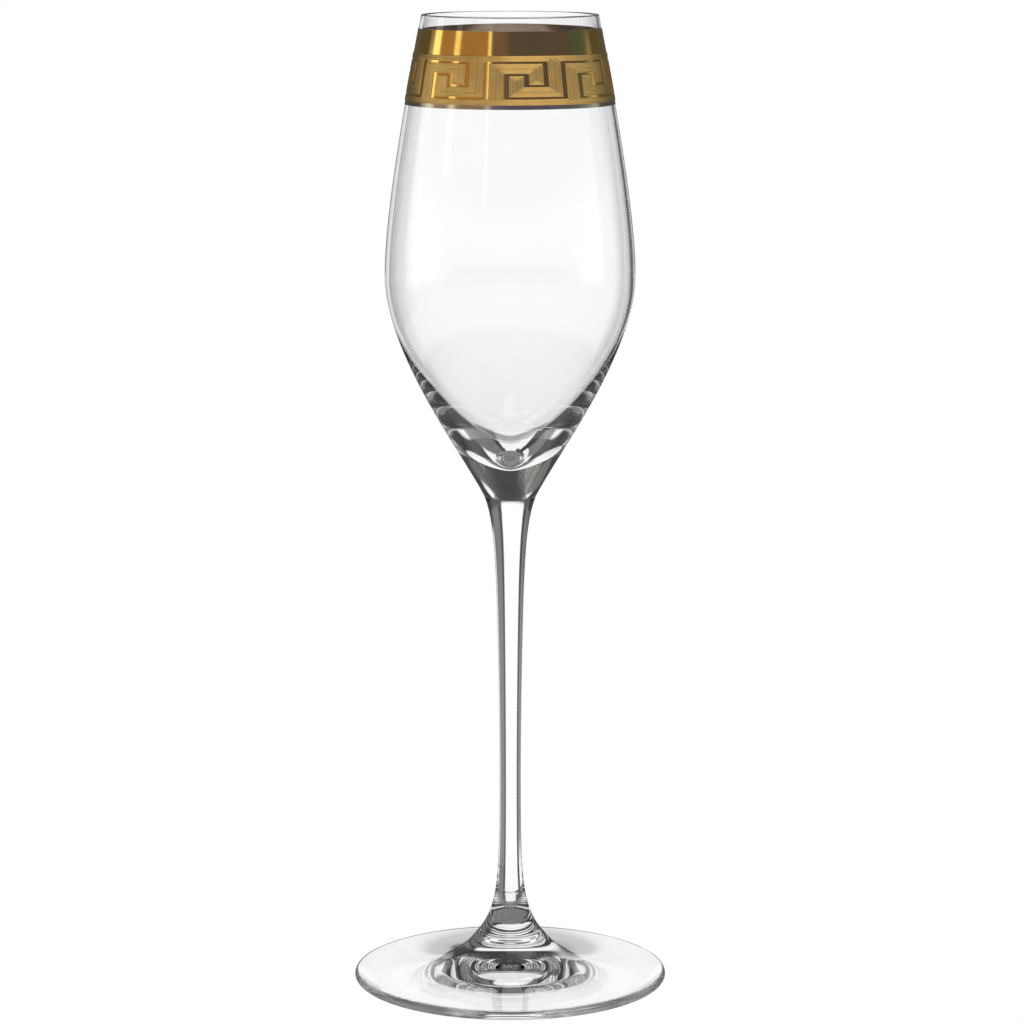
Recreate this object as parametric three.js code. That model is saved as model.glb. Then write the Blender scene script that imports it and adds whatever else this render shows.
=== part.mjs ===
// A stemmed champagne flute in clear crystal with a gilded Greek-key border below the rim.
// Millimetres, +Z up. The origin is the centre of the ring that the foot rests on.
// Every piece is turned about the Z axis. Angles round the glass start at -Y and grow towards +X.

import * as THREE from 'three';

// ---------- Driving dimensions: glass ----------

const FOOT_RADIUS = 42.2;
const FOOT_HEIGHT = 12;              // up to the fused joint with the stem
const FOOT_EDGE_THICKNESS = 2.2;
const FOOT_CONE_RISE = 1.8;          // climb of the foot's top between its edge and the stem
const FOOT_FLARE = 6;                // length over which the stem's flare dies away on the foot
const UNDERSIDE_SLOPE = 0.05;        // climb of the underside towards the middle
const UNDERSIDE_ROUNDING = 8;        // length over which that slope levels off in the middle
const FOOT_DOME_HEIGHT = 3;          // of the round hollow in the underside, below the stem
const FOOT_DOME_RADIUS = 20;
const REST_RING_INNER_RADIUS = 38.5; // the ring that touches the table runs from here to the edge

const STEM_LENGTH = 120.4;
const STEM_WAIST_RADIUS = 2.88;      // the thinnest place
const STEM_WAIST_HEIGHT = 42;        // of the thinnest place above the lower joint
const STEM_TAPER = 1.53;             // gain in radius from the waist up to the upper joint
const STEM_TAPER_POWER = 1.75;
const STEM_FOOT_RADIUS = 9.4;        // at the lower joint
const STEM_FOOT_FLARE = 7;           // length over which the lower flare dies away
const STEM_BOWL_RADIUS = 6.9;        // at the upper joint
const STEM_BOWL_FLARE = 7;           // length over which the upper flare dies away

const BOWL_HEIGHT = 127.6;           // from the upper joint to the rim
const BOWL_FLOOR_THICKNESS = 10;     // solid glass under the cavity
const BELLY_RADIUS = 33.13;
const BELLY_HEIGHT = 59.1;           // of the widest place above the upper joint
const BELLY_FULLNESS_BELOW = 20.8;   // length of the upright tangent under the widest place
const BELLY_FULLNESS_ABOVE = 15;     // length of the upright tangent over the widest place
const BASE_SPLAY = 25.6;             // degrees between the bowl's wall and the axis at the joint
const BASE_TANGENT = 11.4;
const RIM_RADIUS = 23.2;
const RIM_LEAN = 11.1;               // degrees that the wall leans in at the rim
const RIM_TANGENT = 25.7;
const RIM_WALL = 0.8;
const BELLY_WALL = 1.2;
const CAVITY_FLOOR_TANGENT = 6;      // roundness of the cavity's floor
const CAVITY_WALL_TANGENT = 26;

// ---------- Driving dimensions: gilding ----------

const RIM_TO_GILDING = 3.6;          // clear glass left above the gold
const UPPER_BAND_WIDTH = 6.2;
const LOWER_LINE_WIDTH = 1.1;
const GOLD_THICKNESS = 0.1;
const RELIEF_HEIGHT = 0.12;          // the key's lands stand this far above their ground
const LAY_GAP = 0.03;                // between a gold layer and what it lies on

const TOP_BORDER_WIDTH = 1.4;        // the key border, from top to bottom
const KEY_BAR_WIDTH = 2.5;
const HOOK_GAP_WIDTH = 2.25;
const BOTTOM_BORDER_WIDTH = 1.5;
const CHANNEL_WIDTH = 0.57;
const KEY_COUNT = 8;
const CHANNEL_SHARE = 2.8;           // angular widths in degrees when there are eight keys
const BAR_SHARE = 8.45;
const KEY_START_ANGLE = -14.7;       // degrees, left edge of the first key's left channel

// ---------- Fineness ----------

const WIDE_SEGMENTS = 48;            // facets round the bowl, the foot and the gilding
const STEM_SEGMENTS = 24;
const BAR_STEPS = 2;                 // facets across one bar of the key
const SLEEVE_STEP = 6.5;             // greatest height of one facet of a gold sleeve

// ---------- Heights that follow ----------

const STEM_BASE_Z = FOOT_HEIGHT;
const BOWL_BASE_Z = STEM_BASE_Z + STEM_LENGTH;
const CAVITY_FLOOR_Z = BOWL_BASE_Z + BOWL_FLOOR_THICKNESS;
const BELLY_Z = BOWL_BASE_Z + BELLY_HEIGHT;
const RIM_Z = BOWL_BASE_Z + BOWL_HEIGHT;
const GILDING_TOP_Z = RIM_Z - RIM_TO_GILDING;
const KEY_TOP_Z = GILDING_TOP_Z - UPPER_BAND_WIDTH;
const KEY_HEIGHT = TOP_BORDER_WIDTH + BOTTOM_BORDER_WIDTH + HOOK_GAP_WIDTH + 2 * KEY_BAR_WIDTH + 4 * CHANNEL_WIDTH;
const KEY_BOTTOM_Z = KEY_TOP_Z - KEY_HEIGHT;
const GILDING_BOTTOM_Z = KEY_BOTTOM_Z - LOWER_LINE_WIDTH;

// ---------- Materials ----------

const crystal = () => new THREE.MeshStandardMaterial({
  color: 0xf4f7f7,
  roughness: 0.02,
  metalness: 0,
  transparent: true,
  opacity: 0.35,
});
const polishedGold = () => new THREE.MeshStandardMaterial({ color: 0xd9a13a, roughness: 0.12, metalness: 1 });
const matteGold = () => new THREE.MeshStandardMaterial({ color: 0xe0ba62, roughness: 0.45, metalness: 1 });

// ---------- Curves: x is the radius, y is the height ----------

const point = (radius, height) => new THREE.Vector2(radius, height);
const radians = THREE.MathUtils.degToRad;

function sweepCurve(start, startHandle, endHandle, end) {
  return new THREE.CubicBezierCurve(start, startHandle, endHandle, end);
}

// The outside of the bowl, in two sweeps that meet upright at the belly.
const bellyPoint = point(BELLY_RADIUS, BELLY_Z);
const outerBelow = sweepCurve(
  point(STEM_BOWL_RADIUS, BOWL_BASE_Z),
  point(
    STEM_BOWL_RADIUS + BASE_TANGENT * Math.sin(radians(BASE_SPLAY)),
    BOWL_BASE_Z + BASE_TANGENT * Math.cos(radians(BASE_SPLAY)),
  ),
  point(BELLY_RADIUS, BELLY_Z - BELLY_FULLNESS_BELOW),
  bellyPoint,
);
const outerAbove = sweepCurve(
  bellyPoint,
  point(BELLY_RADIUS, BELLY_Z + BELLY_FULLNESS_ABOVE),
  point(
    RIM_RADIUS + RIM_TANGENT * Math.sin(radians(RIM_LEAN)),
    RIM_Z - RIM_TANGENT * Math.cos(radians(RIM_LEAN)),
  ),
  point(RIM_RADIUS, RIM_Z),
);

// The cavity's floor and lower wall, up to the belly.
const cavityBelow = sweepCurve(
  point(0, CAVITY_FLOOR_Z),
  point(CAVITY_FLOOR_TANGENT, CAVITY_FLOOR_Z),
  point(BELLY_RADIUS - BELLY_WALL, BELLY_Z - CAVITY_WALL_TANGENT),
  point(BELLY_RADIUS - BELLY_WALL, BELLY_Z),
);

// The bowl's outer radius at a height between the belly and the rim.
function outerRadiusAt(height) {
  let low = 0;
  let high = 1;
  for (let halving = 0; halving < 40; halving += 1) {
    const middle = (low + high) / 2;
    if (outerAbove.getPoint(middle).y < height) low = middle;
    else high = middle;
  }
  return outerAbove.getPoint(low).x;
}

function stemRadiusAt(height) {
  const aboveWaist = Math.max(0, height - STEM_BASE_Z - STEM_WAIST_HEIGHT) / (STEM_LENGTH - STEM_WAIST_HEIGHT);
  const taper = STEM_TAPER * aboveWaist ** STEM_TAPER_POWER;
  const upperFlare = (STEM_BOWL_RADIUS - STEM_WAIST_RADIUS - STEM_TAPER)
    * Math.exp((height - BOWL_BASE_Z) / STEM_BOWL_FLARE);
  const lowerFlare = (STEM_FOOT_RADIUS - STEM_WAIST_RADIUS) * Math.exp((STEM_BASE_Z - height) / STEM_FOOT_FLARE);
  return STEM_WAIST_RADIUS + taper + upperFlare + lowerFlare;
}

// The foot's top: a shallow cone, with a flare that carries on the stem's lower flare.
function footTopAt(radius) {
  const flareHeight = FOOT_HEIGHT - FOOT_EDGE_THICKNESS - FOOT_CONE_RISE;
  const coneSlope = FOOT_CONE_RISE / (FOOT_RADIUS - STEM_FOOT_RADIUS);
  return FOOT_EDGE_THICKNESS
    + coneSlope * (FOOT_RADIUS - radius)
    + flareHeight * Math.exp((STEM_FOOT_RADIUS - radius) / FOOT_FLARE);
}

// The foot's underside: a shallow hollow cone with a rounded middle, and a dome in it below the stem.
function footUndersideAt(radius) {
  const cone = UNDERSIDE_SLOPE
    * (Math.hypot(REST_RING_INNER_RADIUS, UNDERSIDE_ROUNDING) - Math.hypot(radius, UNDERSIDE_ROUNDING));
  const share = Math.min(1, radius / FOOT_DOME_RADIUS);
  return cone + FOOT_DOME_HEIGHT * (1 + Math.cos(Math.PI * share)) / 2;
}

// ---------- Turned solids ----------

// Turns a closed outline, listed from the bottom upwards along its outside, about +Z.
function turned(outline, segments = WIDE_SEGMENTS) {
  const geometry = new THREE.LatheGeometry(outline, segments);
  geometry.rotateX(Math.PI / 2);
  return geometry;
}

function roundedRim() {
  const radius = RIM_WALL / 2;
  const steps = 4;
  const outline = [];
  for (let step = 0; step <= steps; step += 1) {
    const angle = (Math.PI * step) / steps;
    outline.push(point(RIM_RADIUS - radius + radius * Math.cos(angle), RIM_Z - radius + radius * Math.sin(angle)));
  }
  return outline;
}

function bowlOutline() {
  const outside = [...outerBelow.getPoints(9), ...outerAbove.getPoints(9).slice(1)]
    .filter((place) => place.y < RIM_Z - RIM_WALL);
  const insideAbove = outerAbove.getPoints(7)
    .filter((place) => place.y < RIM_Z - RIM_WALL)
    .map((place) => {
      const wall = THREE.MathUtils.mapLinear(place.y, BELLY_Z, RIM_Z, BELLY_WALL, RIM_WALL);
      return point(place.x - wall, place.y);
    })
    .reverse();
  const insideBelow = cavityBelow.getPoints(10).reverse().slice(1);
  return [point(0, BOWL_BASE_Z), ...outside, ...roundedRim(), ...insideAbove, ...insideBelow];
}

function stemOutline() {
  const steps = 24;
  const outline = [point(0, STEM_BASE_Z)];
  for (let step = 0; step <= steps; step += 1) {
    // Cosine spacing gathers the facets in the two flares.
    const share = (1 - Math.cos((Math.PI * step) / steps)) / 2;
    const height = STEM_BASE_Z + STEM_LENGTH * share;
    outline.push(point(stemRadiusAt(height), height));
  }
  outline.push(point(0, BOWL_BASE_Z));
  return outline;
}

function footOutline() {
  const edgeRadius = FOOT_EDGE_THICKNESS / 2;
  const outline = [];
  const domeSteps = 6;
  for (let step = 0; step < domeSteps; step += 1) {
    const radius = (FOOT_DOME_RADIUS * step) / domeSteps;
    outline.push(point(radius, footUndersideAt(radius)));
  }
  outline.push(point(FOOT_DOME_RADIUS, footUndersideAt(FOOT_DOME_RADIUS)));
  outline.push(point(REST_RING_INNER_RADIUS, 0));
  const edgeSteps = 4;
  for (let step = 0; step < edgeSteps; step += 1) {
    const angle = Math.PI * (step / edgeSteps - 0.5);
    outline.push(point(
      FOOT_RADIUS - edgeRadius + edgeRadius * Math.cos(angle),
      edgeRadius + edgeRadius * Math.sin(angle),
    ));
  }
  const topSteps = 10;
  const topStart = FOOT_RADIUS - edgeRadius;
  for (let step = 0; step <= topSteps; step += 1) {
    // The facets grow shorter towards the flare.
    const share = 1 - (1 - step / topSteps) ** 1.5;
    const radius = THREE.MathUtils.lerp(topStart, STEM_FOOT_RADIUS, share);
    outline.push(point(radius, footTopAt(radius)));
  }
  outline.push(point(0, FOOT_HEIGHT));
  return outline;
}

// A gold sleeve round the bowl between two heights, from one distance off the glass to another.
function sleeve(lowZ, highZ, innerOffset, outerOffset) {
  const steps = Math.ceil((highZ - lowZ) / SLEEVE_STEP);
  const inside = [];
  const outside = [];
  for (let step = 0; step <= steps; step += 1) {
    const height = THREE.MathUtils.lerp(lowZ, highZ, step / steps);
    const glass = outerRadiusAt(height);
    inside.push(point(glass + innerOffset, height));
    outside.push(point(glass + outerOffset, height));
  }
  return turned([...outside, ...inside.reverse(), outside[0]]);
}

// ---------- The Greek key ----------

// Angular columns of one key: channel, riser, channel, up-hook, channel, down-hook, channel, bar.
const keyAngle = 360 / KEY_COUNT;
const shareTotal = 4 * (CHANNEL_SHARE + BAR_SHARE);
const keyColumns = [];
for (const piece of ['riser', 'upHook', 'downHook', 'bar']) {
  keyColumns.push({ piece: 'channel', width: (keyAngle * CHANNEL_SHARE) / shareTotal, steps: 1, before: piece });
  keyColumns.push({ piece, width: (keyAngle * BAR_SHARE) / shareTotal, steps: BAR_STEPS });
}

// Rows of the border from the bottom upwards.
const keyRows = [
  { row: 'bottomBorder', height: BOTTOM_BORDER_WIDTH },
  { row: 'bottomChannel', height: CHANNEL_WIDTH },
  { row: 'bottomBar', height: KEY_BAR_WIDTH },
  { row: 'lowerHookChannel', height: CHANNEL_WIDTH },
  { row: 'hooks', height: HOOK_GAP_WIDTH },
  { row: 'upperHookChannel', height: CHANNEL_WIDTH },
  { row: 'topBar', height: KEY_BAR_WIDTH },
  { row: 'topChannel', height: CHANNEL_WIDTH },
  { row: 'topBorder', height: TOP_BORDER_WIDTH },
];

// The lower land: a bottom border whose risers turn right along the top bar and hook down.
function inLowerLand(column, row) {
  if (row === 'bottomBorder') return true;
  if (row === 'topBorder' || row === 'topChannel') return false;
  if (column.piece === 'riser') return true;
  if (row === 'topBar') {
    return column.piece === 'upHook' || column.piece === 'downHook'
      || column.before === 'upHook' || column.before === 'downHook';
  }
  return column.piece === 'downHook' && (row === 'hooks' || row === 'upperHookChannel');
}

// The upper land: a top border whose bars come down, turn left along the bottom bar and hook up.
function inUpperLand(column, row) {
  if (row === 'topBorder') return true;
  if (row === 'bottomBorder' || row === 'bottomChannel') return false;
  if (column.piece === 'bar') return true;
  if (row === 'bottomBar') {
    return column.piece === 'upHook' || column.piece === 'downHook'
      || column.before === 'downHook' || column.before === 'bar';
  }
  return column.piece === 'upHook' && (row === 'hooks' || row === 'lowerHookChannel');
}

// One relief land as a thin closed shell that stands on the ground sleeve.
function keyLand(isInLand) {
  const angles = [];
  const columns = [];
  let angle = KEY_START_ANGLE;
  for (let key = 0; key < KEY_COUNT; key += 1) {
    for (const column of keyColumns) {
      for (let step = 0; step < column.steps; step += 1) {
        angles.push(radians(angle));
        columns.push(column);
        angle += column.width / column.steps;
      }
    }
  }
  const heights = [KEY_BOTTOM_Z];
  for (const { height } of keyRows) heights.push(heights.at(-1) + height);

  const innerOffset = 2 * LAY_GAP + GOLD_THICKNESS;
  const outerOffset = innerOffset + RELIEF_HEIGHT;
  const columnCount = columns.length;
  const levelCount = heights.length;
  const positions = [];
  for (const offset of [innerOffset, outerOffset]) {
    for (const height of heights) {
      const radius = outerRadiusAt(height) + offset;
      for (const place of angles) positions.push(radius * Math.sin(place), -radius * Math.cos(place), height);
    }
  }
  const vertex = (layer, level, column) => (layer * levelCount + level) * columnCount + (column % columnCount);
  const filled = (level, column) => level >= 0 && level < keyRows.length
    && isInLand(columns[(column + columnCount) % columnCount], keyRows[level].row);

  const triangles = [];
  const face = (a, b, c, d) => triangles.push(a, b, c, a, c, d);
  for (let level = 0; level < keyRows.length; level += 1) {
    for (let column = 0; column < columnCount; column += 1) {
      if (filled(level, column)) {
        const corners = [[level, column], [level, column + 1], [level + 1, column + 1], [level + 1, column]];
        const [innerLeftLow, innerRightLow, innerRightHigh, innerLeftHigh] = corners.map(([l, c]) => vertex(0, l, c));
        const [outerLeftLow, outerRightLow, outerRightHigh, outerLeftHigh] = corners.map(([l, c]) => vertex(1, l, c));
        face(outerLeftLow, outerRightLow, outerRightHigh, outerLeftHigh);
        face(innerLeftLow, innerLeftHigh, innerRightHigh, innerRightLow);
        if (!filled(level - 1, column)) face(innerLeftLow, innerRightLow, outerRightLow, outerLeftLow);
        if (!filled(level + 1, column)) face(outerLeftHigh, outerRightHigh, innerRightHigh, innerLeftHigh);
        if (!filled(level, column - 1)) face(innerLeftLow, outerLeftLow, outerLeftHigh, innerLeftHigh);
        if (!filled(level, column + 1)) face(outerRightLow, innerRightLow, innerRightHigh, outerRightHigh);
      }
    }
  }
  const geometry = new THREE.BufferGeometry();
  geometry.setAttribute('position', new THREE.Float32BufferAttribute(positions, 3));
  geometry.setIndex(triangles);
  return geometry;
}

// ---------- Assembly ----------

const flute = new THREE.Group();

function addPiece(name, geometry, material) {
  const mesh = new THREE.Mesh(geometry, material);
  mesh.name = name;
  flute.add(mesh);
}

const goldOuter = LAY_GAP + GOLD_THICKNESS;
addPiece('foot', turned(footOutline()), crystal());
addPiece('stem', turned(stemOutline(), STEM_SEGMENTS), crystal());
addPiece('bowl', turned(bowlOutline()), crystal());
addPiece('gold_upper_band', sleeve(KEY_TOP_Z, GILDING_TOP_Z, LAY_GAP, goldOuter), polishedGold());
addPiece('gold_key_ground', sleeve(KEY_BOTTOM_Z, KEY_TOP_Z, LAY_GAP, goldOuter), polishedGold());
addPiece('gold_key_upper_land', keyLand(inUpperLand), matteGold());
addPiece('gold_key_lower_land', keyLand(inLowerLand), matteGold());
addPiece('gold_lower_line', sleeve(GILDING_BOTTOM_Z, KEY_BOTTOM_Z, LAY_GAP, goldOuter), polishedGold());

export default flute;
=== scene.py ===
"""The look of the champagne flute: clear crystal with a gilded Greek-key border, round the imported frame.

Metres, +Z up, in the CAD model's own frame. Angles round the glass start at -Y and grow towards +X.
"""

import math

import bpy
import numpy as np
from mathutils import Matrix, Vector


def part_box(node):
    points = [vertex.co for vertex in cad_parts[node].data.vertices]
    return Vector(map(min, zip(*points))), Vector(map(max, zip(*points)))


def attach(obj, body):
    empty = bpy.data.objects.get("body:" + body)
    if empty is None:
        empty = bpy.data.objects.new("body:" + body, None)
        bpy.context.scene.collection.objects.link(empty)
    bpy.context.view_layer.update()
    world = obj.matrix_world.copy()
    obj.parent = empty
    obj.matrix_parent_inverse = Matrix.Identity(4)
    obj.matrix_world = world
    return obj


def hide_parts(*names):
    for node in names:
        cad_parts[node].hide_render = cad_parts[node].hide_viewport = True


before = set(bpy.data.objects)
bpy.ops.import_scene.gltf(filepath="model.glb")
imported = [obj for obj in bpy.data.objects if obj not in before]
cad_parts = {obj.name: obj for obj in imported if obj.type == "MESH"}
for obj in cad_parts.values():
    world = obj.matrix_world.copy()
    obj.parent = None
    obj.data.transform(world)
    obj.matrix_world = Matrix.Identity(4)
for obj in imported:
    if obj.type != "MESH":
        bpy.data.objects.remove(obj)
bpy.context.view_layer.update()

MM = 0.001

# ---------- Places taken from the frame ----------

FOOT_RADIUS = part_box("foot")[1].x
FOOT_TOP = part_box("foot")[1].z
BOWL_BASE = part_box("bowl")[0].z
RIM_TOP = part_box("bowl")[1].z
STEM_LENGTH = BOWL_BASE - FOOT_TOP
BELLY_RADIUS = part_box("bowl")[1].x
STEM_FOOT_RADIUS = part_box("stem")[1].x
BAND_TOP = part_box("gold_upper_band")[1].z
KEY_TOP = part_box("gold_key_ground")[1].z
KEY_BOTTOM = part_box("gold_key_ground")[0].z
LINE_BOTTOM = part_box("gold_lower_line")[0].z

# ---------- Sizes of the glass that the boxes don't give ----------

FOOT_EDGE_THICKNESS = 2.2 * MM
FOOT_CONE_RISE = 1.8 * MM
FOOT_FLARE = 6 * MM
UNDERSIDE_SLOPE = 0.05
UNDERSIDE_ROUNDING = 8 * MM
FOOT_DOME_HEIGHT = 3 * MM
FOOT_DOME_RADIUS = 20 * MM
REST_RING_INNER_RADIUS = 38.5 * MM

STEM_WAIST_RADIUS = 2.88 * MM
STEM_WAIST_HEIGHT = 42 * MM
STEM_TAPER = 1.53 * MM
STEM_TAPER_POWER = 1.75
STEM_FOOT_FLARE = 7 * MM
STEM_BOWL_RADIUS = 6.9 * MM
STEM_BOWL_FLARE = 7 * MM

BOWL_FLOOR = BOWL_BASE + 10 * MM
BELLY = BOWL_BASE + 59.1 * MM
BELLY_FULLNESS_BELOW = 20.8 * MM
BELLY_FULLNESS_ABOVE = 15 * MM
BASE_SPLAY = math.radians(25.6)
BASE_TANGENT = 11.4 * MM
RIM_RADIUS = 23.2 * MM
RIM_LEAN = math.radians(11.1)
RIM_TANGENT = 25.7 * MM
RIM_WALL = 0.8 * MM
RIM_HOLD = 0.08 * MM     # a short straight run that keeps the walls' shading flat up to the round
BELLY_WALL = 1.2 * MM
CAVITY_FLOOR_TANGENT = 6 * MM
CAVITY_WALL_TANGENT = 26 * MM

# ---------- Sizes of the gilding ----------

LAY_GAP = 0.03 * MM
GOLD_THICKNESS = 0.1 * MM
RELIEF_HEIGHT = 0.12 * MM
TOP_BORDER = 1.4 * MM
KEY_BAR = 2.5 * MM
HOOK_GAP = 2.25 * MM
BOTTOM_BORDER = 1.5 * MM
CHANNEL = 0.57 * MM
KEY_COUNT = 8
CHANNEL_ANGLE = 2.8      # degrees, as are the next two
BAR_ANGLE = 8.45
KEY_START_ANGLE = -14.7  # left edge of the first key's left channel
GROOVE_DEPTH = 0.035 * MM
GROOVES_PER_HALF_BAR = 4

# ---------- How finely the curves are cut ----------

SEGMENTS = 256           # round the glass
BELOW_BELLY_STEPS = 60
ABOVE_BELLY_STEPS = 70
CAVITY_STEPS = 70
RIM_STEPS = 16
STEM_STEPS = 120
UNDERSIDE_STEPS = 90
FOOT_EDGE_STEPS = 16
FOOT_TOP_STEPS = 70
FOOT_TOP_CROWDING = 1.5  # above 1, the foot's rows stand closer together near the stem
SLEEVE_STEPS = 8
LOOKUP_STEPS = 1200      # for reading a radius off the bowl's outline
ON_AXIS = 1e-9           # a smaller radius is a point on the axis
GLASS_SHARP_ANGLE = math.radians(50)
LAND_SHARP_ANGLE = math.radians(30)


# ---------- Curves, as rows of radius and height ----------

def sweep(start, start_handle, end_handle, end, steps):
    """Points along a cubic Bezier curve."""
    t = np.linspace(0, 1, steps + 1)[:, None]
    start, start_handle, end_handle, end = map(np.array, (start, start_handle, end_handle, end))
    return ((1 - t) ** 3 * start + 3 * (1 - t) ** 2 * t * start_handle
            + 3 * (1 - t) * t ** 2 * end_handle + t ** 3 * end)


def arc(centre, radius, start, end, steps):
    angle = np.linspace(start, end, steps + 1)
    return np.column_stack((centre[0] + radius * np.cos(angle), centre[1] + radius * np.sin(angle)))


def bowl_outside_below(steps):
    handle = (
        STEM_BOWL_RADIUS + BASE_TANGENT * math.sin(BASE_SPLAY),
        BOWL_BASE + BASE_TANGENT * math.cos(BASE_SPLAY),
    )
    return sweep(
        (STEM_BOWL_RADIUS, BOWL_BASE), handle,
        (BELLY_RADIUS, BELLY - BELLY_FULLNESS_BELOW), (BELLY_RADIUS, BELLY), steps,
    )


def bowl_outside_above(steps):
    handle = (
        RIM_RADIUS + RIM_TANGENT * math.sin(RIM_LEAN),
        RIM_TOP - RIM_TANGENT * math.cos(RIM_LEAN),
    )
    return sweep(
        (BELLY_RADIUS, BELLY), (BELLY_RADIUS, BELLY + BELLY_FULLNESS_ABOVE),
        handle, (RIM_RADIUS, RIM_TOP), steps,
    )


def outer_radius(height):
    """The bowl's outer radius at heights above the belly."""
    curve = bowl_outside_above(LOOKUP_STEPS)
    return np.interp(height, curve[:, 1], curve[:, 0])


def bowl_side():
    """From the joint up the outside, over the rounded rim and down the cavity to its floor."""
    below = bowl_outside_below(BELOW_BELLY_STEPS)
    # The rim's round starts and ends in line with the leaning wall, so that it bends no light below itself.
    rim_round = RIM_WALL * math.cos(RIM_LEAN) / 2
    rim_height = RIM_TOP - rim_round
    rim_start = rim_height + rim_round * math.sin(RIM_LEAN)
    rim_centre = (outer_radius(rim_start) - rim_round * math.cos(RIM_LEAN), rim_height)
    rim = arc(rim_centre, rim_round, RIM_LEAN, math.pi + RIM_LEAN, RIM_STEPS)
    heights = bowl_outside_above(ABOVE_BELLY_STEPS)[:, 1]
    heights = heights[heights < rim_height - RIM_WALL]
    outside_heights = np.append(heights, rim_start - RIM_HOLD)
    above = np.column_stack((outer_radius(outside_heights), outside_heights))
    inside_heights = np.append(heights, rim[-1][1] - RIM_HOLD)
    wall = np.interp(inside_heights, (BELLY, RIM_TOP), (BELLY_WALL, RIM_WALL))
    inside = np.column_stack((outer_radius(inside_heights) - wall, inside_heights))[::-1]
    inner_radius = BELLY_RADIUS - BELLY_WALL
    cavity = sweep(
        (0, BOWL_FLOOR), (CAVITY_FLOOR_TANGENT, BOWL_FLOOR),
        (inner_radius, BELLY - CAVITY_WALL_TANGENT), (inner_radius, BELLY), CAVITY_STEPS,
    )[::-1]
    return np.vstack((below, above[1:], rim, inside, cavity[1:]))


def stem_side():
    share = (1 - np.cos(np.linspace(0, math.pi, STEM_STEPS + 1))) / 2
    height = FOOT_TOP + STEM_LENGTH * share
    above_waist = np.clip(height - FOOT_TOP - STEM_WAIST_HEIGHT, 0, None) / (STEM_LENGTH - STEM_WAIST_HEIGHT)
    upper_gain = STEM_BOWL_RADIUS - STEM_WAIST_RADIUS - STEM_TAPER
    lower_gain = STEM_FOOT_RADIUS - STEM_WAIST_RADIUS
    radius = (
        STEM_WAIST_RADIUS
        + STEM_TAPER * above_waist ** STEM_TAPER_POWER
        + upper_gain * np.exp((height - BOWL_BASE) / STEM_BOWL_FLARE)
        + lower_gain * np.exp((FOOT_TOP - height) / STEM_FOOT_FLARE)
    )
    radius[0] = STEM_FOOT_RADIUS
    radius[-1] = STEM_BOWL_RADIUS
    return np.column_stack((radius, height))


def foot_side():
    """From the middle of the underside, out over the resting ring and the edge, up to the joint."""
    reach = np.linspace(0, REST_RING_INNER_RADIUS, UNDERSIDE_STEPS + 1)
    hollow = UNDERSIDE_SLOPE * (
        math.hypot(REST_RING_INNER_RADIUS, UNDERSIDE_ROUNDING) - np.hypot(reach, UNDERSIDE_ROUNDING)
    )
    dome_share = np.clip(reach / FOOT_DOME_RADIUS, 0, 1)
    dome = FOOT_DOME_HEIGHT * (1 + np.cos(math.pi * dome_share)) / 2
    underside = np.column_stack((reach, hollow + dome))
    edge = FOOT_EDGE_THICKNESS / 2
    rounded = arc((FOOT_RADIUS - edge, edge), edge, -math.pi / 2, math.pi / 2, FOOT_EDGE_STEPS)
    flare_height = FOOT_TOP - FOOT_EDGE_THICKNESS - FOOT_CONE_RISE
    cone_slope = FOOT_CONE_RISE / (FOOT_RADIUS - STEM_FOOT_RADIUS)
    share = 1 - (1 - np.linspace(0, 1, FOOT_TOP_STEPS + 1)) ** FOOT_TOP_CROWDING
    radius = FOOT_RADIUS - edge + (STEM_FOOT_RADIUS - FOOT_RADIUS + edge) * share
    height = (
        FOOT_EDGE_THICKNESS
        + cone_slope * (FOOT_RADIUS - radius)
        + flare_height * np.exp((STEM_FOOT_RADIUS - radius) / FOOT_FLARE)
    )
    top = np.column_stack((radius, height))
    top[-1] = (STEM_FOOT_RADIUS, FOOT_TOP)
    return np.vstack((underside, rounded, top))


# ---------- Meshes ----------

def new_object(name, vertices, faces, materials, face_materials, sharp_angle):
    mesh = bpy.data.meshes.new(name)
    mesh.from_pydata(vertices, [], faces)
    for material in materials:
        mesh.materials.append(material)
    mesh.polygons.foreach_set("material_index", face_materials)
    mesh.shade_smooth()
    mesh.set_sharp_from_angle(angle=sharp_angle)
    mesh.update()
    piece = bpy.data.objects.new(name, mesh)
    bpy.context.scene.collection.objects.link(piece)
    return piece


def turned(name, sections, materials, closed=False):
    """Turns an outline about +Z. Each section is a material's number and its points, end to end."""
    outline = [tuple(sections[0][1][0])]
    edge_materials = []
    for material, points in sections:
        for place in points[1:]:
            outline.append(tuple(place))
            edge_materials.append(material)
    if closed:
        outline.pop()
    angle = np.linspace(0, 2 * math.pi, SEGMENTS, endpoint=False)
    vertices = []
    loops = []
    for radius, height in outline:
        first = len(vertices)
        if radius < ON_AXIS:
            vertices.append((0, 0, height))
            loops.append([first] * SEGMENTS)
        else:
            vertices.extend(zip(radius * np.sin(angle), -radius * np.cos(angle), [height] * SEGMENTS))
            loops.append(list(range(first, first + SEGMENTS)))
    faces = []
    face_materials = []
    for edge, material in enumerate(edge_materials):
        low = loops[edge]
        high = loops[(edge + 1) % len(loops)]
        for i in range(SEGMENTS):
            j = (i + 1) % SEGMENTS
            faces.append(list(dict.fromkeys((low[i], low[j], high[j], high[i]))))
            face_materials.append(material)
    return new_object(name, vertices, faces, materials, face_materials, GLASS_SHARP_ANGLE)


# ---------- Materials ----------

# Noise scales per metre, and the middle of a noise's range.
CRYSTAL_CLOUD = 120
GOLD_CLOUD = 260
NOISE_DETAIL = 3
NOISE_LOW, NOISE_HIGH = 0.3, 0.7
CRYSTAL_IOR = 1.55


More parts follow.
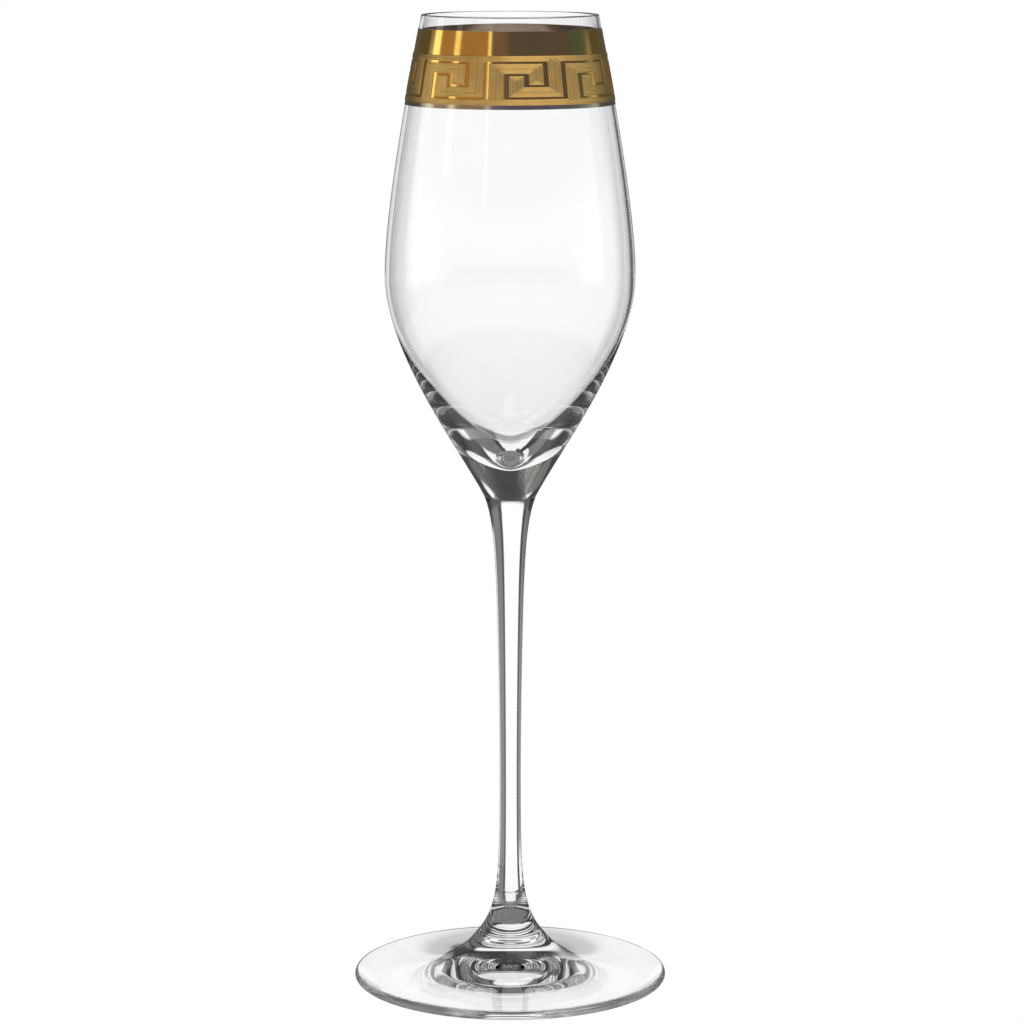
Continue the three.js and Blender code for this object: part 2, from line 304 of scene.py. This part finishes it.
def new_material(name):
    material = bpy.data.materials.new(name)
    material.use_nodes = True
    tree = material.node_tree
    shader = tree.nodes["Principled BSDF"]
    return material, tree, shader


def crystal():
    """Clear crystal, very faintly clouded."""
    material, tree, shader = new_material("crystal")
    cloud = spread(tree, noise(tree, CRYSTAL_CLOUD), 0, 1)
    tree.links.new(blend_colours(tree, cloud, (1, 1, 1), (0.988, 0.992, 0.993)), shader.inputs["Base Color"])
    shader.inputs["Roughness"].default_value = 0
    shader.inputs["IOR"].default_value = CRYSTAL_IOR
    shader.inputs["Transmission Weight"].default_value = 1
    return material


def fused_joint():
    """The hot-fused face inside the glass, which bends and stops no light."""
    material = bpy.data.materials.new("fused_joint")
    material.use_nodes = True
    tree = material.node_tree
    tree.nodes.remove(tree.nodes["Principled BSDF"])
    clear = tree.nodes.new("ShaderNodeBsdfTransparent")
    tree.links.new(clear.outputs[0], tree.nodes["Material Output"].inputs["Surface"])
    return material


def noise(tree, scale):
    """A fine unevenness in the object's own space."""
    place = tree.nodes.new("ShaderNodeTexCoord").outputs["Object"]
    texture = tree.nodes.new("ShaderNodeTexNoise")
    texture.inputs["Scale"].default_value = scale
    texture.inputs["Detail"].default_value = NOISE_DETAIL
    tree.links.new(place, texture.inputs["Vector"])
    return texture.outputs["Fac"]


def spread(tree, value, low, high):
    """The middle of a noise's range, stretched from low to high."""
    node = tree.nodes.new("ShaderNodeMapRange")
    node.inputs["From Min"].default_value = NOISE_LOW
    node.inputs["From Max"].default_value = NOISE_HIGH
    node.inputs["To Min"].default_value = low
    node.inputs["To Max"].default_value = high
    tree.links.new(value, node.inputs["Value"])
    return node.outputs[0]


MIX_SHARE, MIX_FIRST, MIX_SECOND, MIX_RESULT = 0, 6, 7, 2    # a colour Mix node's sockets


def blend_colours(tree, share, first, second):
    """Goes from the first colour, which may be a socket, to the second as the share goes from 0 to 1."""
    node = tree.nodes.new("ShaderNodeMix")
    node.data_type = "RGBA"
    tree.links.new(share, node.inputs[MIX_SHARE])
    if isinstance(first, bpy.types.NodeSocket):
        tree.links.new(first, node.inputs[MIX_FIRST])
    else:
        node.inputs[MIX_FIRST].default_value = (*first, 1)
    node.inputs[MIX_SECOND].default_value = (*second, 1)
    return node.outputs[MIX_RESULT]


def gold(name, colour, deeper, roughness, grain, bump_depth):
    """Fired gold whose colour, gloss and surface all waver a little."""
    material, tree, shader = new_material(name)
    shader.inputs["Metallic"].default_value = 1
    cloud = spread(tree, noise(tree, GOLD_CLOUD), 0, 1)
    tree.links.new(blend_colours(tree, cloud, colour, deeper), shader.inputs["Base Color"])
    fine = noise(tree, grain)
    tree.links.new(spread(tree, fine, *roughness), shader.inputs["Roughness"])
    bump = tree.nodes.new("ShaderNodeBump")
    bump.inputs["Distance"].default_value = bump_depth
    bump.inputs["Strength"].default_value = 1
    tree.links.new(fine, bump.inputs["Height"])
    tree.links.new(bump.outputs[0], shader.inputs["Normal"])
    return material


def polished_gold():
    """The burnished gold of the upper band and of the key's ground."""
    return gold("polished_gold", (0.96, 0.61, 0.14), (0.90, 0.55, 0.13), (0.07, 0.12), 1500, 0.0008 * MM)


def pale_gold():
    """The gold of the thin lower line, which is worn paler and duller."""
    return gold("pale_gold", (0.66, 0.57, 0.38), (0.55, 0.47, 0.31), (0.12, 0.20), 1500, 0.0008 * MM)


def gold_underside():
    """The gold's face against the glass, which is duller and browner than its outside."""
    return gold("gold_underside", (0.38, 0.25, 0.13), (0.26, 0.175, 0.10), (0.18, 0.26), 900, 0.001 * MM)


def matte_gold():
    """The satin gold on top of the key's lands."""
    return gold("matte_gold", (0.98, 0.67, 0.22), (0.89, 0.59, 0.19), (0.34, 0.46), 2600, 0.006 * MM)


def gold_painted_groove_shade():
    """The gold on the lands' bevels, sides and engraved lines, darker and browner than the tops: painted
    shade in these edges and creases.
    """
    return gold("gold_painted_groove_shade", (0.66, 0.42, 0.13), (0.52, 0.32, 0.10), (0.34, 0.46), 2600, 0.006 * MM)


# ---------- Glass ----------

CRYSTAL = crystal()
JOINT = fused_joint()
GLASS, CAP = 0, 1        # a glass piece's materials: its surface, and its faces at the fused joints


def add(piece, node):
    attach(piece, "root")
    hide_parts(node)


bowl_cap = [(0, BOWL_BASE), (STEM_BOWL_RADIUS, BOWL_BASE)]
foot_cap = [(0, FOOT_TOP), (STEM_FOOT_RADIUS, FOOT_TOP)]
add(turned("crystal_bowl", [(CAP, bowl_cap), (GLASS, bowl_side())], [CRYSTAL, JOINT]), "bowl")
add(
    turned(
        "crystal_stem",
        [(CAP, foot_cap), (GLASS, stem_side()), (CAP, bowl_cap[::-1])],
        [CRYSTAL, JOINT],
    ),
    "stem",
)
add(
    turned("crystal_foot", [(GLASS, foot_side()), (CAP, foot_cap[::-1])], [CRYSTAL, JOINT]),
    "foot",
)


# ---------- Gilding ----------

POLISHED = polished_gold()
PALE = pale_gold()
UNDERSIDE = gold_underside()
MATTE = matte_gold()
# The darker gold for the lands' bevels, sides and grooves is painted shade.
GROOVE_SHADE_GOLD = gold_painted_groove_shade()


GOLD_OUTER = LAY_GAP + GOLD_THICKNESS
SHOWN, HIDDEN = 0, 1     # a sleeve's materials: its outside with its edges, and its face against the glass


def sleeve(name, low, high, material):
    """A thin ring of gold that follows the bowl's outside between two heights."""
    height = np.linspace(low, high, SLEEVE_STEPS + 1)
    glass = outer_radius(height)
    outside = np.column_stack((glass + GOLD_OUTER, height))
    inside = np.column_stack((glass + LAY_GAP, height))[::-1]
    sections = [
        (SHOWN, outside),
        (SHOWN, (outside[-1], inside[0])),
        (HIDDEN, inside),
        (SHOWN, (inside[-1], outside[0])),
    ]
    return turned(name, sections, [material, UNDERSIDE], closed=True)


add(sleeve("gilt_upper_band", KEY_TOP, BAND_TOP, POLISHED), "gold_upper_band")
add(sleeve("gilt_key_ground", KEY_BOTTOM, KEY_TOP, POLISHED), "gold_key_ground")
add(sleeve("gilt_lower_line", LINE_BOTTOM, KEY_BOTTOM, PALE), "gold_lower_line")


# ---------- The Greek key ----------

COLUMNS = []
for piece_name in ("riser", "up_hook", "down_hook", "bar"):
    COLUMNS.append(("before_" + piece_name, CHANNEL_ANGLE))
    COLUMNS.append((piece_name, BAR_ANGLE))
ROWS = [
    ("bottom_border", BOTTOM_BORDER),
    ("bottom_channel", CHANNEL),
    ("bottom_bar", KEY_BAR),
    ("lower_hook_channel", CHANNEL),
    ("hooks", HOOK_GAP),
    ("upper_hook_channel", CHANNEL),
    ("top_bar", KEY_BAR),
    ("top_channel", CHANNEL),
    ("top_border", TOP_BORDER),
]


def in_lower_land(column, row):
    if row == "bottom_border":
        return True
    if row in ("top_border", "top_channel"):
        return False
    if column == "riser":
        return True
    if row == "top_bar":
        return column in ("before_up_hook", "up_hook", "before_down_hook", "down_hook")
    return column == "down_hook" and row in ("hooks", "upper_hook_channel")


def in_upper_land(column, row):
    if row == "top_border":
        return True
    if row in ("bottom_border", "bottom_channel"):
        return False
    if column == "bar":
        return True
    if row == "bottom_bar":
        return column in ("up_hook", "before_down_hook", "down_hook", "before_bar")
    return column == "up_hook" and row in ("hooks", "lower_hook_channel")


# How high the land stands over its wall's foot, against the distance from its edge as a share of
# half a bar: a bevelled edge, a plain margin, then fine engraved grooves.
BEVEL_SHARE = 0.09
BEVEL_START = 0.4 * RELIEF_HEIGHT
MARGIN_SHARE = 0.17
PITCH_SHARE = (1 - MARGIN_SHARE) / (GROOVES_PER_HALF_BAR - 0.5)
GROOVE_SHAPE = ((0, 0), (0.3, GROOVE_DEPTH), (0.6, 0))     # share of the pitch, and depth
PAINTED_SHADE_DEPTH = 0.3 * GROOVE_DEPTH                        # faces that lie lower are engraved, and take the darker gold as painted shade
MERGE_SHARE = 0.05                                         # grid lines closer than this are merged
profile_shares = [0, BEVEL_SHARE]
profile_heights = [BEVEL_START, RELIEF_HEIGHT]
for groove in range(GROOVES_PER_HALF_BAR):
    for pitch_share, depth in GROOVE_SHAPE:
        share = MARGIN_SHARE + (groove + pitch_share) * PITCH_SHARE
        if share <= 1:
            profile_shares.append(share)
            profile_heights.append(RELIEF_HEIGHT - depth)

TOP, PAINTED_SHADE_FACES = 0, 1        # a land's materials: its flat top, and its bevels, grooves and sides, whose darker gold is painted shade
HALF_BAR_ANGLE = math.radians(BAR_ANGLE) / 2
HALF_BAR_HEIGHT = KEY_BAR / 2
COLUMN_ANGLES = [math.radians(width) for _, width in COLUMNS]
ROW_HEIGHTS = [height for _, height in ROWS]


def grid_lines(sizes, half_bar):
    """Line positions over a row of cells, and the cell that each gap between two lines is in."""
    positions = [0.0]
    cells = []
    for cell, size in enumerate(sizes):
        inner = {size / 2}
        if size >= half_bar:
            for share in profile_shares[1:]:
                offset = share * half_bar
                inner.update(place for place in (offset, size - offset) if 0 < place < size)
        kept = []
        for place in sorted(inner):
            if not kept or place - kept[-1] > MERGE_SHARE * half_bar:
                kept.append(place)
        start = sum(sizes[:cell])
        for place in (*kept, size):
            positions.append(start + place)
            cells.append(cell)
    return np.array(positions), cells


def land_relief(angles, heights, filled):
    """How high the land stands at each crossing of the grid over one key."""
    column_edges = np.concatenate(([0], np.cumsum(COLUMN_ANGLES)))
    row_edges = np.concatenate(([0], np.cumsum(ROW_HEIGHTS)))
    u, v = np.meshgrid(angles, heights, indexing="ij")
    share = np.minimum(v, row_edges[-1] - v) / HALF_BAR_HEIGHT
    for column, row in zip(*np.nonzero(~filled)):
        for turn in (-column_edges[-1], 0, column_edges[-1]):
            left = column_edges[column] + turn
            right = column_edges[column + 1] + turn
            across = np.maximum(np.maximum(left - u, u - right), 0) / HALF_BAR_ANGLE
            along = np.maximum(np.maximum(row_edges[row] - v, v - row_edges[row + 1]), 0) / HALF_BAR_HEIGHT
            share = np.minimum(share, np.maximum(across, along))
    return np.interp(share, profile_shares, profile_heights)


def key_land(name, is_in_land):
    """One land of the border: the filled cells of the key, eight times round, with engraved tops."""
    filled = np.array([[is_in_land(column, row) for row, _ in ROWS] for column, _ in COLUMNS])
    angles, angle_cells = grid_lines(COLUMN_ANGLES, HALF_BAR_ANGLE)
    heights, height_cells = grid_lines(ROW_HEIGHTS, HALF_BAR_HEIGHT)
    angles = angles[:-1]     # the last line is the next key's first
    relief = np.tile(land_relief(angles, heights, filled), (KEY_COUNT, 1))

    per_key, levels = len(angles), len(heights)
    count = per_key * KEY_COUNT
    starts = math.radians(KEY_START_ANGLE) + np.arange(KEY_COUNT) * sum(COLUMN_ANGLES)
    all_angles = (starts[:, None] + angles).ravel()
    z = KEY_BOTTOM + heights
    inner_radius = np.broadcast_to(outer_radius(z) + GOLD_OUTER + LAY_GAP, (count, levels))

    def layer(radius):
        x = radius * np.sin(all_angles)[:, None]
        y = -radius * np.cos(all_angles)[:, None]
        return np.stack((x, y, np.broadcast_to(z, x.shape)), axis=-1).reshape(-1, 3)

    def is_filled(i, k):
        return 0 <= k < levels - 1 and filled[angle_cells[i % per_key], height_cells[k]]

    vertices = np.vstack((layer(inner_radius), layer(inner_radius + relief)))
    to_top = count * levels
    faces = []
    face_materials = []
    for i in range(count):
        j = (i + 1) % count
        for k in range(levels - 1):
            if not is_filled(i, k):
                continue
            a, b, c, d = i * levels + k, j * levels + k, j * levels + k + 1, i * levels + k + 1
            top_a, top_b, top_c, top_d = a + to_top, b + to_top, c + to_top, d + to_top
            mean_relief = (relief[i, k] + relief[j, k] + relief[j, k + 1] + relief[i, k + 1]) / 4
            around = [(a, d, c, b)]
            if not is_filled(i, k - 1):
                around.append((a, b, top_b, top_a))
            if not is_filled(i, k + 1):
                around.append((top_d, top_c, c, d))
            if not is_filled(i - 1, k):
                around.append((a, top_a, top_d, d))
            if not is_filled(i + 1, k):
                around.append((top_b, b, c, top_c))
            faces.append((top_a, top_b, top_c, top_d))
            # Tops take the satin gold. Bevels, grooves and sides take the darker gold, which is painted
            # shade in the creases and edges.
            face_materials.append(TOP if mean_relief >= RELIEF_HEIGHT - PAINTED_SHADE_DEPTH else PAINTED_SHADE_FACES)
            faces.extend(around)
            face_materials.extend([PAINTED_SHADE_FACES] * len(around))
    used = np.unique([corner for face in faces for corner in face])
    renumber = np.full(len(vertices), -1)
    renumber[used] = np.arange(len(used))
    faces = renumber[np.array(faces)].tolist()
    return new_object(
        name, vertices[used].tolist(), faces, [MATTE, GROOVE_SHADE_GOLD], face_materials, LAND_SHARP_ANGLE,
    )


add(key_land("gilt_key_upper_land", in_upper_land), "gold_key_upper_land")
add(key_land("gilt_key_lower_land", in_lower_land), "gold_key_lower_land")


# ---------- Studio ----------

# The light round the glass, in patches that each cover the ones before. Degrees: the centre's azimuth, half
# the width and its softness, then the lowest and highest elevation and their softness, and the colour.
# Azimuth 0 is behind the glass, 90 its left, 180 the camera.
ROOM = [
    ("surround", 180, 200, 1, -34, 4, 3, (1, 1, 1)),
    ("dim_front", 180, 70, 15, -4, 35, 7, (0.05, 0.05, 0.05)),
    ("left_flank", 55, 22, 5, -18, 14, 3, (0.19, 0.19, 0.19)),
    ("right_flank", -40, 18, 5, -60, 14, 4, (0.17, 0.17, 0.17)),
    ("left_flag", 35, 6, 2, -60, 14, 4, (0.03, 0.03, 0.03)),
    ("right_flag", -21, 4, 2, -60, 14, 4, (0.045, 0.045, 0.045)),
    ("backdrop", 6, 22, 2, -24, 15, 3, (1, 1, 1)),
    ("backdrop_top", 6, 22, 2, -8, 15, 7, (1.06, 1.06, 1.06)),
    ("backdrop_foot", 2, 16, 3, -47, -20, 4, (1, 1, 1)),
    ("table", 0, 200, 1, -90, -47, 4, (0.2, 0.2, 0.2)),
]
# These show in the gold and on the outside of the glass, and not through it.
REFLECTED = [
    ("low_room", 180, 115, 15, -62, -24, 16, (1, 1, 1)),
    ("side_room", 180, 115, 15, -30, 9.5, 3, (1, 1, 1)),
    ("dark_back", 0, 66, 4, -38, 30, 3, (0.1, 0.105, 0.11)),
    ("pale_back", 0, 14, 3, 9, 30, 2, (1, 1, 1)),
    ("upper_room", 180, 125, 6, 10.2, 26, 1.3, (0.09, 0.095, 0.22)),
    ("green_card", 300, 40, 1.5, 10.2, 26, 1.3, (0.066, 0.12, 0.2)),
    ("warm_card", 115, 38, 4, 10.2, 26, 1.3, (0.36, 0.25, 0.2)),
    ("brown_card", 167, 10, 5, 10.2, 26, 1.3, (0.16, 0.14, 0.28)),
    ("overhead", 220, 60, 15, 38, 75, 8, (1.9, 1.7, 1.45)),
    ("left_softbox", 79, 6, 1.5, 9, 22, 1.5, (1.5, 1.5, 1.5)),
    ("left_strip", 112, 4, 1, 9, 26, 1, (1.1, 1.1, 1.1)),
    ("front_strip", 155, 2, 0.7, 9, 26, 0.7, (1.1, 1.1, 1.1)),
]
DARK = (0.045, 0.045, 0.05)     # everywhere else
SEEN_DIRECTLY = (1, 1, 1)       # behind the glass and the floor, for the camera itself

FLOOR_SIZE = 8
CAMERA_PLACE = (0.0005, -0.99237, 0.29473)
CAMERA_TILT = 9.535             # degrees down
CAMERA_LENS = 132.44
CAMERA_SENSOR = 36
BOUNCES = 32                    # enough for light that is caught inside the glass


def studio_world():
    world = bpy.data.worlds.new("studio")
    world.use_nodes = True
    bpy.context.scene.world = world
    tree = world.node_tree
    nodes, links = tree.nodes, tree.links
    nodes.clear()

    def maths(operation, *values):
        node = nodes.new("ShaderNodeMath")
        node.operation = operation
        for socket, value in zip(node.inputs, values):
            if isinstance(value, bpy.types.NodeSocket):
                links.new(value, socket)
            else:
                socket.default_value = value
        return node.outputs[0]

    def step_down(value, edge, softness):
        node = nodes.new("ShaderNodeMapRange")
        node.interpolation_type = "SMOOTHSTEP"
        links.new(value, node.inputs["Value"])
        node.inputs["From Min"].default_value = edge - softness
        node.inputs["From Max"].default_value = edge + softness
        node.inputs["To Min"].default_value = 1
        node.inputs["To Max"].default_value = 0
        return node.outputs[0]

    direction = nodes.new("ShaderNodeTexCoord").outputs["Generated"]
    split = nodes.new("ShaderNodeSeparateXYZ")
    links.new(direction, split.inputs[0])
    x, y, z = split.outputs
    azimuth = maths("DEGREES", maths("ARCTAN2", maths("MULTIPLY", x, -1), y))
    elevation = maths("DEGREES", maths("ARCSINE", z))
    paths = nodes.new("ShaderNodeLightPath")

    not_through_glass = maths("SUBTRACT", 1, paths.outputs["Is Transmission Ray"])
    light = DARK
    for patches, seen_by in ((ROOM, 1), (REFLECTED, not_through_glass)):
        for _, centre, half_width, side_softness, low, high, softness, colour in patches:
            off_centre = maths("ABSOLUTE", maths("WRAP", maths("SUBTRACT", azimuth, centre), 180, -180))
            across = step_down(off_centre, half_width, side_softness)
            above_low = maths("SUBTRACT", 1, step_down(elevation, low, softness))
            along = maths("MULTIPLY", above_low, step_down(elevation, high, softness))
            share = maths("MULTIPLY", maths("MULTIPLY", across, along), seen_by)
            light = blend_colours(tree, share, light, colour)
    light = blend_colours(tree, paths.outputs["Is Camera Ray"], light, SEEN_DIRECTLY)
    background = nodes.new("ShaderNodeBackground")
    links.new(light, background.inputs["Color"])
    output = nodes.new("ShaderNodeOutputWorld")
    links.new(background.outputs[0], output.inputs["Surface"])


def camera():
    """About a metre in front and just above the rim, looking a little down through a long lens."""
    data = bpy.data.cameras.new("camera")
    data.sensor_width = CAMERA_SENSOR
    data.lens = CAMERA_LENS
    eye = bpy.data.objects.new("camera", data)
    eye.location = CAMERA_PLACE
    eye.rotation_euler = (math.radians(90 - CAMERA_TILT), 0, 0)
    bpy.context.scene.collection.objects.link(eye)
    bpy.context.scene.camera = eye


def floor():
    """A plain pale sheet that the camera sees as evenly lit. The glass reflects and bends the room only."""
    bpy.ops.mesh.primitive_plane_add(size=FLOOR_SIZE)
    sheet = bpy.context.object
    sheet.name = "floor"
    material = bpy.data.materials.new("floor")
    material.use_nodes = True
    tree = material.node_tree
    tree.nodes.remove(tree.nodes["Principled BSDF"])
    glow = tree.nodes.new("ShaderNodeEmission")
    tree.links.new(glow.outputs[0], tree.nodes["Material Output"].inputs["Surface"])
    sheet.data.materials.append(material)
    sheet.visible_transmission = False
    sheet.visible_glossy = False
    sheet.visible_diffuse = False


studio_world()
floor()
camera()
bpy.context.scene.view_settings.view_transform = "Standard"
bpy.context.scene.cycles.transmission_bounces = BOUNCES
bpy.context.scene.cycles.glossy_bounces = BOUNCES
bpy.context.scene.cycles.max_bounces = BOUNCES
